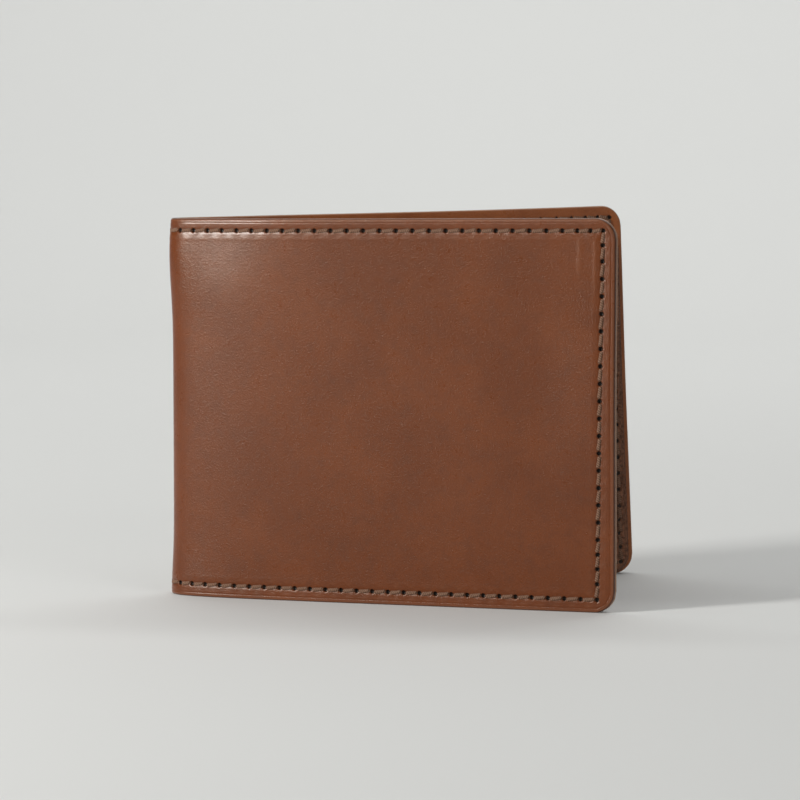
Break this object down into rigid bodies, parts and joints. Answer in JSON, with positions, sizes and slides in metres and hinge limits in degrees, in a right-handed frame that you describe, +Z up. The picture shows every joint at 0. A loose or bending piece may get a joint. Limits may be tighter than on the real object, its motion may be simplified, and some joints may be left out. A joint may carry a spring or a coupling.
{
  "type": "bifold wallet",
  "caption": "Leather bifold wallet standing part open, with a note compartment and stepped card pockets",
  "frame": {"origin": "centre of the bottom of the wallet's box, where its lower edges stand", "axes": "+X from the fold to the opening edges, +Y from the front leaf to the back leaf, +Z up along the fold"},
  "size_m": [0.109, 0.077, 0.09],
  "materials": {
    "cover_leather": "smooth full-grain, semi-gloss, medium brown",
    "inner_leather": "fine pebbled grain, satin, dark brown",
    "waxed_thread": "flat waxed polyester thread, taupe brown"
  },
  "bodies": {
    "spine": {"spine_cover": "cover_leather", "spine_lining": "inner_leather", "spine_thread_outer": "waxed_thread", "spine_thread_inner": "waxed_thread"},
    "front_leaf": {"front_cover": "cover_leather", "front_lining": "inner_leather", "front_pocket_backing": "inner_leather", "front_upper_card_pocket": "inner_leather", "front_middle_card_pocket": "inner_leather", "front_lower_card_pocket": "inner_leather", "front_edge_thread_outer": "waxed_thread", "front_edge_thread_inner": "waxed_thread", "front_pocket_seam_thread_outer": "waxed_thread", "front_pocket_seam_thread_inner": "waxed_thread", "front_hem_thread_outer": "waxed_thread", "front_hem_thread_inner": "waxed_thread"},
    "back_leaf": {"back_cover": "cover_leather", "back_lining": "inner_leather", "back_pocket_backing": "inner_leather", "back_upper_card_pocket": "inner_leather", "back_middle_card_pocket": "inner_leather", "back_lower_card_pocket": "inner_leather", "back_edge_thread_outer": "waxed_thread", "back_edge_thread_inner": "waxed_thread", "back_pocket_seam_thread_outer": "waxed_thread", "back_pocket_seam_thread_inner": "waxed_thread", "back_hem_thread_outer": "waxed_thread", "back_hem_thread_inner": "waxed_thread"}
  },
  "joints": [
    {"name": "front_fold", "type": "hinge", "parent": "spine", "child": "front_leaf", "pos_m": [-0.05275, -0.0062, 0.045], "axis": [0, 0, -1], "range_deg": [-16.3, 73.7]},
    {"name": "back_fold", "type": "hinge", "parent": "spine", "child": "back_leaf", "pos_m": [-0.05275, 0.0062, 0.045], "axis": [0, 0, 1], "range_deg": [-16.3, 73.7]}
  ],
  "couplings": [
    {"joint": "back_fold", "follows": "front_fold", "ratio": 1}
  ]
}
